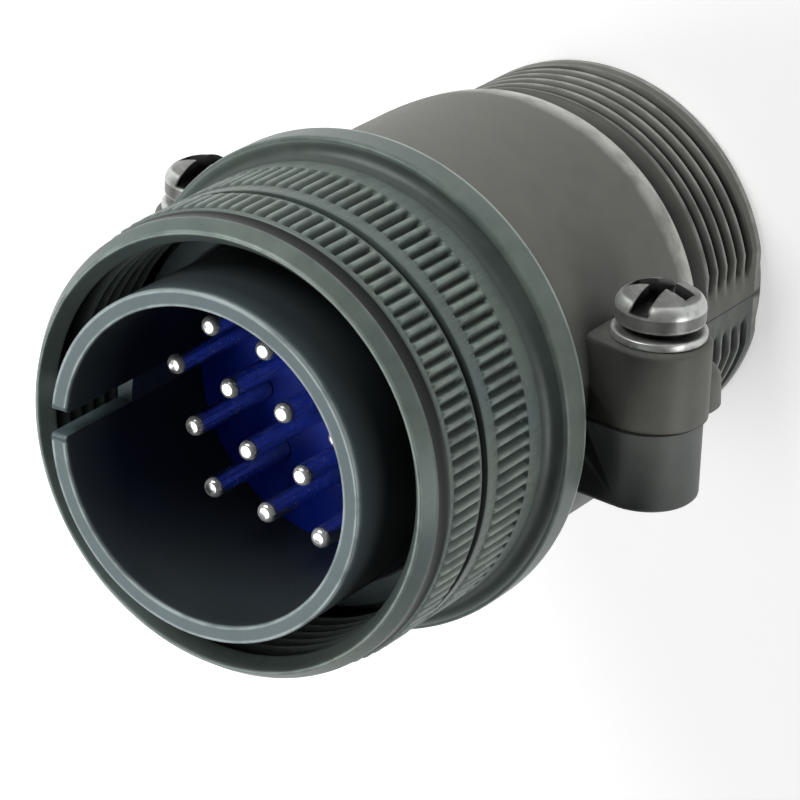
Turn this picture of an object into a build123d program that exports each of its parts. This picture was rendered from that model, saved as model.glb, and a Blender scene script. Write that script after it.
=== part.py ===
from build123d import *
import math
import os

# Circular connector plug with a split clamping backshell. All sizes are in millimetres.
# It stands on its threaded rear end. The origin is the centre of that end face, +Z runs along
# the connector's axis to the mating rim, and the heads of the clamp screws face -Y.

# Clearances
running_gap = 0.08
seat_gap = 0.05
free_gap = 0.30
flange_play = 0.20

# Backshell, from its rear end forwards
thread_step = 0.67
thread_length = 9.3
thread_chamfer = 0.6
thread_flat_depth = 0.48
thread_wall = 3.58
neck_depth = 1.48
neck_rise = 1.2
neck_land = 0.9
dome_drop = 0.65
dome_length = 6.1
dome_corner = 1.2
shell_clamp_wall = 3.0
shell_length = 17.1
shell_wall = 2.0
shell_chamfer = 0.3
cable_bore_chamfer = 0.4
cable_bore_length = 11.5
wire_space_taper = 4.0

# Barrel, from the backshell forwards
skirt_radius = 12.85
skirt_wall = 1.25
skirt_length = 13.0
rim_chamfer = 0.15
insert_step = 0.25
clamped_wall = 1.55
clamp_groove_depth = 0.6
clamp_groove_length = 2.0
clamp_groove_setback = 1.6
barrel_neck_height = 0.45
barrel_neck_length = 3.6
flange_height = 1.05
flange_length = 2.0
barrel_end_lip = 1.55
key_slot_width = 1.75
key_slot_length = 8.0
key_groove_length = 5.0
key_groove_depth = 0.7

# Inserts, snap ring and pin contacts
insert_face_depth = 16.5
insert_nose_length = 2.0
insert_flange_length = 2.5
rear_insert_length = 4.5
snap_ring_thickness = 0.9
snap_ring_section = 1.45
snap_ring_bite = 0.7
snap_ring_opening = 5.0
pin_radius = 0.785
pin_projection = 9.0
pin_tip_chamfer = 0.45
contact_shoulder_height = 0.6
contact_shoulder_length = 1.6
solder_cup_wall = 0.3
solder_cup_bore_radius = 0.85
solder_cup_depth = 4.5
solder_cup_window = 3.2
solder_cup_reach = 3.0
contact_edge_margin = 3.50
contact_layout_turn = 22.2
contact_columns = (3, 4, 4, 3)
contact_column_shifts = (-0.25, -0.25, 0.25, 0.25)

# Coupling nut, from its mating lip rearwards
nut_setback = 2.64
coupling_thread_gap = 0.21
coupling_relief_depth = 0.84
coupling_thread_length = 8.5
lip_length = 1.1
lip_rise = 0.8
band_length = 1.0
band_drop = 0.29
front_land_length = 0.85
land_drop = 0.19
nut_wall = 1.19
knurl_depth = 0.5
knurl_ridges = 106
front_knurl_length = 3.4
groove_land_length = 0.2
nut_groove_depth = 1.0
nut_groove_length = 0.8
middle_land_length = 1.25
rear_knurl_length = 3.95
rear_land_length = 2.7
ring_cove_radius = 1.05
ring_wall = 1.84
ring_length = 2.66
ring_chamfer = 0.25
nut_shoulder_thickness = 3.1
nut_shell_gap = 0.4

# Ears, lugs and clamp hardware
ear_offset = 3.1
ear_setback = 9.5
head_boss_radius = 4.15
head_boss_height = 5.8
head_boss_draft = 2.5
head_ear_shift = 0.25
tapped_boss_radius = 4.0
tapped_boss_height = 6.2
tapped_boss_draft = 0.8
tapped_ear_shift = 0.7
boss_edge_round = 0.45
web_root_width = 7.0
web_root_inset = 1.2
lug_outreach = 0.3
lug_offset = 2.6
lug_radius = 3.3
lug_height = 2.9
lug_round = 1.1
screw_radius = 1.75
screw_hole_gap = 0.2
screw_tip_setback = 0.6
washer_section = 1.62
washer_gap = 0.13
washer_thickness = 0.70
washer_split_width = 0.45
washer_split_lean = 20.0
head_neck_height = 0.75
head_neck_length = 0.52
head_overhang = 1.55
head_side_height = 1.63
head_dome_height = 1.2
recess_width = 1.15
recess_depth = 1.3
recess_cross_length = 4.6

# Radii that follow from the sizes above
skirt_bore_radius = skirt_radius - skirt_wall
insert_bore_radius = skirt_bore_radius + insert_step
clamped_radius = insert_bore_radius + clamped_wall
clamp_groove_radius = clamped_radius - clamp_groove_depth
barrel_neck_radius = clamped_radius + barrel_neck_height
flange_radius = barrel_neck_radius + flange_height
shell_radius = clamped_radius + shell_clamp_wall
wire_space_radius = shell_radius - shell_wall
dome_radius = shell_radius - dome_drop
thread_radius = dome_radius - thread_step
neck_radius = thread_radius - neck_depth
cable_bore_radius = thread_radius - thread_wall
snap_ring_radius = insert_bore_radius + snap_ring_bite
solder_cup_radius = solder_cup_bore_radius + solder_cup_wall
contact_shoulder_radius = pin_radius + contact_shoulder_height
coupling_minor_radius = flange_radius + coupling_thread_gap
coupling_relief_radius = coupling_minor_radius + coupling_relief_depth
knurl_radius = coupling_relief_radius + nut_wall
band_radius = knurl_radius - band_drop
land_radius = knurl_radius - land_drop
lip_radius = band_radius - lip_rise
nut_groove_radius = knurl_radius - nut_groove_depth
rear_bore_radius = shell_radius + nut_shell_gap
ring_radius = rear_bore_radius + ring_wall
ear_reach = shell_radius + ear_offset
lug_reach = ear_reach + lug_outreach
screw_hole_radius = screw_radius + screw_hole_gap
washer_bore_radius = screw_radius + washer_gap
washer_radius = washer_bore_radius + washer_section
head_neck_radius = screw_radius + head_neck_height
head_radius = screw_radius + head_overhang

# Levels along the axis, from the rear end face
neck_top = thread_length + neck_rise + neck_land
dome_top = neck_top + dome_length
shell_front = dome_top + shell_length
barrel_step = shell_front + free_gap
flange_back = barrel_step + barrel_neck_length
flange_front = flange_back + flange_length
rim_level = flange_front + skirt_length
insert_face = rim_level - insert_face_depth
insert_seat = insert_face - insert_nose_length
insert_joint = insert_seat - insert_flange_length
insert_back = insert_joint - rear_insert_length
ring_groove_top = insert_back + seat_gap
ring_groove_bottom = insert_back - snap_ring_thickness - seat_gap
barrel_end = ring_groove_bottom - barrel_end_lip
clamp_groove_top = shell_front - clamp_groove_setback
clamp_groove_bottom = clamp_groove_top - clamp_groove_length
wire_space_top = barrel_end - free_gap
wire_space_bottom = cable_bore_length + wire_space_taper
nut_front = rim_level - nut_setback
nut_shoulder_front = flange_back - flange_play
nut_shoulder_back = nut_shoulder_front - nut_shoulder_thickness
ear_level = shell_front - ear_setback


def turned(outline):
    return revolve(Plane.XZ * outline, Axis.Z)


def rounded_corner(outline, corner, radius):
    return fillet(outline.vertices().sort_by_distance(corner)[0], radius)


def tube(outer_radius, inner_radius, bottom, top):
    ring = Circle(outer_radius) - Circle(inner_radius)
    return Pos(0, 0, bottom) * extrude(ring, top - bottom)


def rod(radius, bottom, top):
    return Pos(0, 0, bottom) * extrude(Circle(radius), top - bottom)


# Barrel: thin skirt, flange, bearing neck for the nut, and the grooved body that the backshell clamps
def barrel_outline():
    rim_outer = skirt_radius - rim_chamfer
    rim_inner = skirt_bore_radius + rim_chamfer
    return Polygon(
        (rim_inner, rim_level),
        (rim_outer, rim_level),
        (skirt_radius, rim_level - rim_chamfer),
        (skirt_radius, flange_front),
        (flange_radius, flange_front),
        (flange_radius, flange_back),
        (barrel_neck_radius, flange_back),
        (barrel_neck_radius, barrel_step),
        (clamped_radius, barrel_step),
        (clamped_radius, clamp_groove_top),
        (clamp_groove_radius, clamp_groove_top),
        (clamp_groove_radius, clamp_groove_bottom),
        (clamped_radius, clamp_groove_bottom),
        (clamped_radius, barrel_end),
        (insert_bore_radius, barrel_end),
        (insert_bore_radius, insert_seat),
        (skirt_bore_radius, insert_seat),
        (skirt_bore_radius, rim_level - rim_chamfer),
        align=None,
    )


def make_barrel():
    body = turned(barrel_outline())
    ring_groove_radius = snap_ring_radius + seat_gap
    body -= tube(ring_groove_radius, insert_bore_radius - seat_gap, ring_groove_bottom, ring_groove_top)
    slot_start = skirt_bore_radius - key_groove_depth
    slot_top = rim_level + free_gap
    slot_bottom = rim_level - key_slot_length
    from_start = (Align.MIN, Align.CENTER, Align.MIN)
    slot = Pos(slot_start, 0, slot_bottom) * Box(
        skirt_radius, key_slot_width, slot_top - slot_bottom, align=from_start
    )
    groove_reach = skirt_bore_radius + key_groove_depth - slot_start
    groove = Pos(slot_start, 0, slot_bottom - key_groove_length) * Box(
        groove_reach, key_slot_width, key_groove_length, align=from_start
    )
    return body - slot - groove


# Coupling nut: each row is a length along the axis, then the radius where it starts and ends
nut_sections = (
    (lip_length, lip_radius, band_radius),
    (band_length, band_radius, band_radius),
    (front_land_length, land_radius, land_radius),
    (front_knurl_length, knurl_radius, knurl_radius),
    (groove_land_length, land_radius, land_radius),
    (nut_groove_length, nut_groove_radius, nut_groove_radius),
    (middle_land_length, land_radius, land_radius),
    (rear_knurl_length, knurl_radius, knurl_radius),
    (rear_land_length, knurl_radius, knurl_radius),
)
nut_levels = [nut_front]
for section_length, _, _ in nut_sections:
    nut_levels.append(nut_levels[-1] - section_length)
front_knurl_top = nut_levels[3]
rear_knurl_top = nut_levels[7]
ring_top = nut_levels[-1]
nut_back = ring_top - ring_length


def nut_side():
    points = [(lip_radius, nut_front)]
    for top, bottom, (_, start_radius, end_radius) in zip(nut_levels, nut_levels[1:], nut_sections):
        for point in ((start_radius, top), (end_radius, bottom)):
            if math.dist(point, points[-1]) > seat_gap:
                points.append(point)
    return points


def nut_blank():
    outline = Polygon(
        *nut_side(),
        (ring_radius - ring_chamfer, ring_top),
        (ring_radius, ring_top - ring_chamfer),
        (ring_radius, nut_back + ring_chamfer),
        (ring_radius - ring_chamfer, nut_back),
        (rear_bore_radius, nut_back),
        (rear_bore_radius, nut_shoulder_back),
        (barrel_neck_radius + running_gap, nut_shoulder_back),
        (barrel_neck_radius + running_gap, nut_shoulder_front),
        (coupling_relief_radius, nut_shoulder_front),
        (coupling_relief_radius, nut_front - coupling_thread_length - lip_length),
        (coupling_minor_radius, nut_front - coupling_thread_length - lip_length),
        (coupling_minor_radius, nut_front - lip_length),
        align=None,
    )
    step = ring_radius - ring_chamfer - knurl_radius
    cove = min(ring_cove_radius, step - seat_gap)
    return turned(rounded_corner(outline, (knurl_radius, ring_top), cove))


# The valleys between the ridges of one knurled band
def knurl_valleys(top, length):
    valley_radius = knurl_radius - knurl_depth
    half_pitch = 180 / knurl_ridges
    star = []
    for number in range(2 * knurl_ridges):
        radius = knurl_radius if number % 2 == 0 else valley_radius
        angle = math.radians(number * half_pitch)
        star.append((radius * math.cos(angle), radius * math.sin(angle)))
    outside = Circle(knurl_radius + free_gap) - Polygon(*star, align=None)
    return Pos(0, 0, top - length) * extrude(outside, length)


def make_coupling_nut():
    nut = nut_blank()
    nut -= knurl_valleys(front_knurl_top, front_knurl_length)
    nut -= knurl_valleys(rear_knurl_top, rear_knurl_length)
    return nut


# Contact places: four straight columns that interlock, first in pitches and then in millimetres
def contact_layout():
    column_gap = math.sqrt(3) / 2
    layout = []
    for column, count in enumerate(contact_columns):
        sideways = (column - (len(contact_columns) - 1) / 2) * column_gap
        for row in range(count):
            layout.append((sideways, row - (count - 1) / 2 + contact_column_shifts[column]))
    return layout


def contact_places():
    layout = contact_layout()
    farthest = max(math.hypot(sideways, step) for sideways, step in layout)
    pitch = (insert_bore_radius - contact_edge_margin) / farthest
    turn = math.radians(contact_layout_turn)
    places = []
    for sideways, step in layout:
        x = pitch * (sideways * math.cos(turn) + step * math.sin(turn))
        y = pitch * (sideways * math.sin(turn) - step * math.cos(turn))
        places.append((x, y))
    return places


def make_front_insert():
    nose = rod(skirt_bore_radius - seat_gap, insert_seat, insert_face)
    flange = rod(insert_bore_radius - seat_gap, insert_joint, insert_seat)
    insert = nose + flange
    for x, y in contact_places():
        insert -= Pos(x, y, 0) * rod(pin_radius + seat_gap, insert_joint, insert_face)
        insert -= Pos(x, y, 0) * rod(
            contact_shoulder_radius + seat_gap, insert_joint, insert_joint + contact_shoulder_length
        )
    return insert


def make_rear_insert():
    insert = rod(insert_bore_radius - seat_gap, insert_back, insert_joint)
    for x, y in contact_places():
        insert -= Pos(x, y, 0) * rod(solder_cup_radius + seat_gap, insert_back, insert_joint)
    return insert


def make_snap_ring():
    bottom = insert_back - snap_ring_thickness
    ring = tube(snap_ring_radius, snap_ring_radius - snap_ring_section, bottom, insert_back)
    opening = Pos(0, -snap_ring_radius, (bottom + insert_back) / 2) * Box(
        snap_ring_opening, 2 * snap_ring_section + snap_ring_bite, 2 * snap_ring_thickness
    )
    return ring - opening


def make_contact():
    tip = insert_face + pin_projection
    cup_end = barrel_end - solder_cup_reach
    shoulder_top = insert_joint + contact_shoulder_length
    outline = Polygon(
        (0, tip),
        (pin_radius - pin_tip_chamfer, tip),
        (pin_radius, tip - pin_tip_chamfer),
        (pin_radius, shoulder_top),
        (contact_shoulder_radius, shoulder_top),
        (contact_shoulder_radius, insert_joint),
        (solder_cup_radius, insert_joint),
        (solder_cup_radius, cup_end),
        (solder_cup_bore_radius, cup_end),
        (solder_cup_bore_radius, cup_end + solder_cup_depth),
        (0, cup_end + solder_cup_depth),
        align=None,
    )
    contact = turned(outline)
    window = Pos(0, -solder_cup_radius, cup_end) * Box(
        2 * solder_cup_radius, solder_cup_radius, 2 * solder_cup_window
    )
    return contact - window


# Backshell body of both halves together
def shell_outside():
    neck = Polyline(
        (0, 0),
        (thread_radius - thread_chamfer, 0),
        (thread_radius, thread_chamfer),
        (thread_radius, thread_length),
        (neck_radius, thread_length + neck_rise),
        (neck_radius, neck_top),
        (dome_radius, neck_top),
    )
    dome = TangentArc((shell_radius, dome_top), (dome_radius, neck_top), tangent=(0, -1))
    front = Polyline(
        (shell_radius, dome_top),
        (shell_radius, shell_front - shell_chamfer),
        (shell_radius - shell_chamfer, shell_front),
        (0, shell_front),
        (0, 0),
    )
    outline = rounded_corner(make_face([neck, dome, front]), (dome_radius, neck_top), dome_corner)
    body = turned(outline)
    flat_size = 2 * thread_radius
    flat_middle = thread_radius - thread_flat_depth + flat_size / 2
    for side in (-1, 1):
        body -= Pos(side * flat_middle, 0, thread_length / 2) * Box(flat_size, flat_size, thread_length)
    return body


def shell_inside():
    clamp_radius = clamped_radius + running_gap
    rib_radius = clamp_groove_radius + running_gap
    outline = Polygon(
        (0, 0),
        (cable_bore_radius + cable_bore_chamfer, 0),
        (cable_bore_radius, cable_bore_chamfer),
        (cable_bore_radius, cable_bore_length),
        (wire_space_radius, wire_space_bottom),
        (wire_space_radius, wire_space_top),
        (clamp_radius, wire_space_top),
        (clamp_radius, clamp_groove_bottom + seat_gap),
        (rib_radius, clamp_groove_bottom + seat_gap),
        (rib_radius, clamp_groove_top - seat_gap),
        (clamp_radius, clamp_groove_top - seat_gap),
        (clamp_radius, shell_front),
        (0, shell_front),
        align=None,
    )
    return turned(outline)


# Turns something built along +Z so that it points to the screw heads or away from them
def beside_shell(side, toward_heads, solid):
    turn = 90 if toward_heads else -90
    return Pos(side * ear_reach, 0, ear_level) * Rot(X=turn) * solid


def make_boss(radius, top_radius, height):
    outline = Polygon((0, 0), (radius, 0), (top_radius, height), (0, height), align=None)
    return turned(rounded_corner(outline, (top_radius, height), boss_edge_round))


def make_web(side, radius, top_radius, height):
    inner_x = wire_space_radius - ear_reach
    root_x = shell_radius - web_root_inset - ear_reach
    taper = (web_root_width / 2 - radius) / root_x
    faces = []
    for level, boss_width in ((0, radius), (height, top_radius)):
        inner_width = boss_width + taper * inner_x
        corners = [(inner_x, -inner_width), (0, -boss_width), (0, boss_width), (inner_x, inner_width)]
        faces.append(Pos(0, 0, level) * Polygon(*[(side * x, y) for x, y in corners], align=None))
    return loft(faces)


# An ear sits a little nearer to the nut than its screw
def make_ear(side, toward_heads):
    if toward_heads:
        radius, height, draft = head_boss_radius, head_boss_height, head_boss_draft
        shift = head_ear_shift
    else:
        radius, height, draft = tapped_boss_radius, tapped_boss_height, tapped_boss_draft
        shift = -tapped_ear_shift
    top_radius = radius - height * math.tan(math.radians(draft))
    ear = make_boss(radius, top_radius, height) + make_web(side, radius, top_radius, height)
    return beside_shell(side, toward_heads, Pos(0, shift, 0) * ear)


def make_lug(side):
    middle = (wire_space_radius + lug_reach) / 2
    lug_level = ear_level - lug_offset
    tongue = Pos(side * lug_reach, lug_level) * Circle(lug_radius)
    tongue += Pos(side * middle, lug_level) * Rectangle(lug_reach - wire_space_radius, 2 * lug_radius)
    lug = extrude(Plane.XZ * tongue, lug_height)
    top_edges = lug.faces().sort_by(Axis.Y)[0].edges()
    return fillet(top_edges, lug_round)


def make_backshell_half(toward_heads):
    direction = -1 if toward_heads else 1
    room = 2 * ear_reach
    half_space = Pos(0, direction * room / 2, shell_front / 2) * Box(2 * room, room, 2 * shell_front)
    half = shell_outside() & half_space
    for side in (-1, 1):
        half += make_ear(side, toward_heads)
        if toward_heads:
            half += make_lug(side)
    half -= shell_inside()
    hole_radius = screw_hole_radius if toward_heads else screw_radius + seat_gap
    height = head_boss_height if toward_heads else tapped_boss_height
    for side in (-1, 1):
        half -= beside_shell(side, toward_heads, rod(hole_radius, 0, height))
    return half


# Clamp hardware, built along +Z with the parting plane at zero
def make_screw():
    seat = head_boss_height + washer_thickness
    head_bottom = seat + head_neck_length
    side_top = head_bottom + head_side_height
    crown = side_top + head_dome_height
    tip = screw_tip_setback - tapped_boss_height
    lower = Polyline(
        (0, crown),
        (0, tip),
        (screw_radius, tip),
        (screw_radius, seat),
        (head_neck_radius, seat),
        (head_neck_radius, head_bottom),
        (head_radius, head_bottom),
        (head_radius, side_top),
    )
    dome = TangentArc((0, crown), (head_radius, side_top), tangent=(1, 0))
    screw = turned(make_face([lower, dome]))
    for turn in (0, 90):
        screw -= Pos(0, 0, crown - recess_depth) * Rot(Z=turn) * Box(
            3 * head_radius if turn == 90 else recess_cross_length,
            recess_width,
            2 * recess_depth,
            align=(Align.CENTER, Align.CENTER, Align.MIN),
        )
    return screw


def make_washer():
    washer = tube(washer_radius, washer_bore_radius, head_boss_height, head_boss_height + washer_thickness)
    middle = head_boss_height + washer_thickness / 2
    split_x = (washer_radius + washer_bore_radius) / 2
    split = Pos(split_x, 0, middle) * Rot(X=washer_split_lean) * Box(
        washer_radius, washer_split_width, 4 * washer_thickness
    )
    return washer - split


def both_sides(solid):
    return Compound([beside_shell(side, True, solid) for side in (-1, 1)])


os.makedirs("parts", exist_ok=True)
export_step(make_barrel(), "parts/barrel.step")
export_step(make_coupling_nut(), "parts/coupling_nut.step")
export_step(make_front_insert(), "parts/insert_front.step")
export_step(make_rear_insert(), "parts/insert_rear.step")
export_step(make_snap_ring(), "parts/insert_snap_ring.step")
contact = make_contact()
for number, (x, y) in enumerate(contact_places(), start=1):
    export_step(Pos(x, y, 0) * contact, f"parts/contact_{number:02d}.step")
export_step(make_backshell_half(True), "parts/backshell_head_half.step")
export_step(make_backshell_half(False), "parts/backshell_tapped_half.step")
export_step(both_sides(make_screw()), "parts/clamp_screws.step")
export_step(both_sides(make_washer()), "parts/lock_washers.step")
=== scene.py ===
import math
import bmesh
import bpy
from mathutils import Matrix, Vector
from mathutils.kdtree import KDTree


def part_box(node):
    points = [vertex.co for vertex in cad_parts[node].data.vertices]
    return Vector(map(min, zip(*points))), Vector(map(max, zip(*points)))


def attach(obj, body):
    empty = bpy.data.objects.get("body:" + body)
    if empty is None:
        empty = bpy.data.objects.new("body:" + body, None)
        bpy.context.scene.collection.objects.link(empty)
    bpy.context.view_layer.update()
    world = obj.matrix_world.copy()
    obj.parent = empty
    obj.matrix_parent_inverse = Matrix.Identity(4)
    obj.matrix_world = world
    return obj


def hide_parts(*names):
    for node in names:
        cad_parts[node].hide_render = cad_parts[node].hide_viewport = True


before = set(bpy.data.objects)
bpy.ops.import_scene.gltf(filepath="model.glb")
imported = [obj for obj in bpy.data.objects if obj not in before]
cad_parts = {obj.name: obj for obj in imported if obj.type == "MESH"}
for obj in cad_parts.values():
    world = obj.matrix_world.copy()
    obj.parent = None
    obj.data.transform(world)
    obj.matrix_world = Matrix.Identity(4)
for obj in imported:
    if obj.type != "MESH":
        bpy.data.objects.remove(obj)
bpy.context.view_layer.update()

# Circular connector plug, standing on its threaded end. Settings are in millimetres and degrees.
mm = 0.001

# levels along the axis that every piece is set out from
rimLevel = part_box("barrel")[1].z / mm
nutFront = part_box("coupling_nut")[1].z / mm
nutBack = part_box("coupling_nut")[0].z / mm
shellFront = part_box("backshell_head_half")[1].z / mm
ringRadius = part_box("coupling_nut")[1].y / mm - 0.01
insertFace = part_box("insert_front")[1].z / mm
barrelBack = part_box("barrel")[0].z / mm
earReach = (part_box("lock_washers")[1].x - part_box("lock_washers")[0].x) / mm / 2 - 3.5
earLevel = (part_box("lock_washers")[0].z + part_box("lock_washers")[1].z) / mm / 2


# Mesh helpers

def startMesh():
    bm = bmesh.new()
    # Each vertex carries one value: above 0 rubbed wear and painted highlight, below 0 painted shade
    bm.verts.layers.float.new("wear_and_painted_light")
    return bm


# Corners are (radius, level, rounding, wear and painted light): above 0 rubbed wear and painted highlight, below 0
# painted shade. Rounded corners get support points beside them.
def drawOutline(bm, corners, support=0.2):
    wear_and_painted_light = bm.verts.layers.float["wear_and_painted_light"]
    verts = [bm.verts.new((radius * mm, 0, level * mm)) for radius, level, rounding, wearAndPaintedLight in corners]
    face = bm.faces.new(verts)
    for vert, (radius, level, rounding, wearAndPaintedLight) in zip(verts, corners):
        if rounding == 0:
            vert[wear_and_painted_light] = wearAndPaintedLight
            continue
        made = bmesh.ops.bevel(bm, geom=[vert], offset=rounding * mm, offset_type="OFFSET", segments=3,
                               profile=0.5, affect="VERTICES", clamp_overlap=True, material=-1)
        for corner in made["verts"]:
            corner[wear_and_painted_light] = wearAndPaintedLight
    for edge in list(bm.edges):
        addSupports(bm, edge, support * mm)
    return bm.faces[:][0] if len(bm.faces) == 1 else face


# Puts a point near each end of a long edge, so that the wear and painted light stay at the corners. An edge with
# painted shade at both ends stays dark.
def addSupports(bm, edge, distance):
    wear_and_painted_light = bm.verts.layers.float["wear_and_painted_light"]
    ends = [vert for vert in edge.verts if vert[wear_and_painted_light] != 0]
    if edge.calc_length() < 3 * distance or all(vert[wear_and_painted_light] < 0 for vert in edge.verts):
        return
    for vert in ends:
        edge, point = bmesh.utils.edge_split(edge, vert, distance / edge.calc_length())
        point[wear_and_painted_light] = 0
        other = [link for link in point.link_edges if vert not in link.verts]
        edge = other[0]


def spinFull(bm, steps):
    edges = list(bm.edges)
    bmesh.ops.delete(bm, geom=list(bm.faces), context="FACES_ONLY")
    bmesh.ops.spin(bm, geom=list(bm.verts) + edges, cent=(0, 0, 0), axis=(0, 0, 1), dvec=(0, 0, 0),
                   angle=math.tau, steps=steps, use_merge=True, use_normal_flip=False, use_duplicate=False)
    bmesh.ops.remove_doubles(bm, verts=bm.verts, dist=0.0005 * mm)
    bmesh.ops.recalc_face_normals(bm, faces=bm.faces)


def turned(corners, steps, support=0.2):
    bm = startMesh()
    drawOutline(bm, corners, support)
    spinFull(bm, steps)
    return bm


def toObject(bm, name):
    mesh = bpy.data.meshes.new(name)
    bm.to_mesh(mesh)
    bm.free()
    piece = bpy.data.objects.new(name, mesh)
    bpy.context.scene.collection.objects.link(piece)
    return piece


def wearAndLightPoints(part):
    wear_and_painted_light = part.data.attributes["wear_and_painted_light"].data
    return [(vert.co.copy(), wear_and_painted_light[vert.index].value) for vert in part.data.vertices]


# The exact solver mixes up the wear and painted light of its two shapes, so each vertex takes it from the nearest one
# it had before
def keepWearAndLight(shape, points):
    tree = KDTree(len(points))
    for index, (place, wearAndPaintedLight) in enumerate(points):
        tree.insert(place, index)
    tree.balance()
    wear_and_painted_light = shape.attributes["wear_and_painted_light"].data
    for vert in shape.vertices:
        place, index, distance = tree.find(vert.co)
        wear_and_painted_light[vert.index].value = points[index][1]


# Adds or cuts a tool shape with a Boolean modifier and applies it, enlarged so that small edges keep apart
def combine(piece, tool, operation):
    for part in (piece, tool):
        part.data.transform(Matrix.Scale(1 / mm, 4))
    points = wearAndLightPoints(piece) + wearAndLightPoints(tool)
    cut = piece.modifiers.new("cut", "BOOLEAN")
    cut.operation = operation
    cut.solver = "EXACT" if operation == "UNION" else "FAST"
    cut.object = tool
    bpy.context.view_layer.update()
    shape = bpy.data.meshes.new_from_object(piece.evaluated_get(bpy.context.evaluated_depsgraph_get()))
    piece.modifiers.clear()
    old = piece.data
    piece.data = shape
    if operation == "UNION":
        keepWearAndLight(shape, points)
    shape.transform(Matrix.Scale(mm, 4))
    bpy.data.meshes.remove(old)
    bpy.data.objects.remove(tool)
    return piece


def finishPiece(piece, material, body, nodes, sharpAngle=32):
    piece.data.name = piece.name
    piece.data.materials.clear()
    piece.data.materials.append(material)
    piece.data.polygons.foreach_set("use_smooth", [True] * len(piece.data.polygons))
    piece.data.set_sharp_from_angle(angle=math.radians(sharpAngle))
    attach(piece, body)
    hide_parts(*nodes)
    return piece


def smoothStep(low, high, value):
    share = min(1, max(0, (value - low) / (high - low)))
    return share * share * (3 - 2 * share)


# Finishes

def addNode(tree, kind, settings=None, inputs=None):
    node = tree.nodes.new(kind)
    for key, value in (settings or {}).items():
        setattr(node, key, value)
    for key, value in (inputs or {}).items():
        if isinstance(value, bpy.types.NodeSocket):
            tree.links.new(value, node.inputs[key])
        else:
            node.inputs[key].default_value = value
    return node


def mixColours(tree, factor, first, second, blend="MIX"):
    node = tree.nodes.new("ShaderNodeMix")
    node.data_type = "RGBA"
    node.blend_type = blend
    for index, value in ((0, factor), (6, first), (7, second)):
        if isinstance(value, bpy.types.NodeSocket):
            tree.links.new(value, node.inputs[index])
        else:
            node.inputs[index].default_value = value
    return node.outputs[2]


def noisePattern(tree, coords, scale, detail=3.0, roughness=0.55):
    node = addNode(tree, "ShaderNodeTexNoise", {"noise_dimensions": "3D"},
                   {"Vector": coords, "Scale": scale, "Detail": detail, "Roughness": roughness})
    return node.outputs["Fac"]


def spread(tree, value, low, high, toLow=0.0, toHigh=1.0):
    node = addNode(tree, "ShaderNodeMapRange", {"clamp": True},
                   {"Value": value, "From Min": low, "From Max": high, "To Min": toLow, "To Max": toHigh})
    return node.outputs["Result"]


def calculate(tree, operation, first, second):
    node = addNode(tree, "ShaderNodeMath", {"operation": operation, "use_clamp": False}, {0: first, 1: second})
    return node.outputs[0]


# A plated or cast metal: blotchy colour, grain, and wear with painted highlights and painted shade, which follow the
# piece's own attribute
def platedMetal(name, finish):
    material = bpy.data.materials.new(name)
    material.use_nodes = True
    tree = material.node_tree
    shader = tree.nodes["Principled BSDF"]
    coords = addNode(tree, "ShaderNodeTexCoord").outputs["Object"]
    blotches = noisePattern(tree, coords, finish["blotchScale"], 4.0)
    patches = noisePattern(tree, coords, finish["patchScale"], 2.0)
    grain = noisePattern(tree, coords, finish["grainScale"], 3.0, 0.65)
    colour = mixColours(tree, spread(tree, blotches, 0.35, 0.65), finish["colour"], finish["secondColour"])
    colour = mixColours(tree, spread(tree, patches, 0.45, 0.75, 0.0, finish["patchShare"]), colour,
                        finish["patchColour"])
    wearAndPaintedLight = addNode(tree, "ShaderNodeAttribute", {"attribute_name": "wear_and_painted_light"}).outputs["Fac"]
    raggedWearAndHighlight = calculate(tree, "MULTIPLY", wearAndPaintedLight, spread(tree, blotches, 0.3, 0.6, 0.55, 1.3))
    # Positive values blend in the worn colour as wear and painted highlight; negative values blend in the recess colour
    # as painted shade
    wearAndPaintedHighlight = spread(tree, raggedWearAndHighlight, 0.15, 0.9, 0.0, finish["wearAndHighlightShare"])
    paintedShade = spread(tree, wearAndPaintedLight, -0.8, -0.05, finish["paintedShadeShare"], 0.0)
    colour = mixColours(tree, wearAndPaintedHighlight, colour, finish["wearAndHighlightColour"])
    colour = mixColours(tree, paintedShade, colour, finish["paintedShadeAndSeamColour"])
    if "partingWidth" in finish:
        across = addNode(tree, "ShaderNodeSeparateXYZ", None, {"Vector": coords}).outputs["Y"]
        width = finish["partingWidth"] * mm
        seam = spread(tree, calculate(tree, "ABSOLUTE", across, 0.0), 0.4 * width, width, 0.85, 0.0)
        colour = mixColours(tree, seam, colour, finish["paintedShadeAndSeamColour"])
    tree.links.new(colour, shader.inputs["Base Color"])
    tree.links.new(spread(tree, wearAndPaintedHighlight, 0.0, 1.0, finish["metallic"], finish["wearAndHighlightMetallic"]), shader.inputs["Metallic"])
    shader.inputs["Specular IOR Level"].default_value = 0.25
    roughness = spread(tree, calculate(tree, "ADD", grain, blotches), 0.6, 1.4, finish["roughness"] - 0.07,
                       finish["roughness"] + 0.09)
    tree.links.new(roughness, shader.inputs["Roughness"])
    bump = addNode(tree, "ShaderNodeBump", None,
                   {"Height": grain, "Strength": finish["bump"], "Distance": finish["bumpDepth"] * mm})
    tree.links.new(bump.outputs["Normal"], shader.inputs["Normal"])
    return material


def rgb(red, green, blue):
    def linear(value):
        share = value / 255
        return share / 12.92 if share <= 0.04045 else ((share + 0.055) / 1.055) ** 2.4
    return (linear(red), linear(green), linear(blue), 1)


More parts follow.
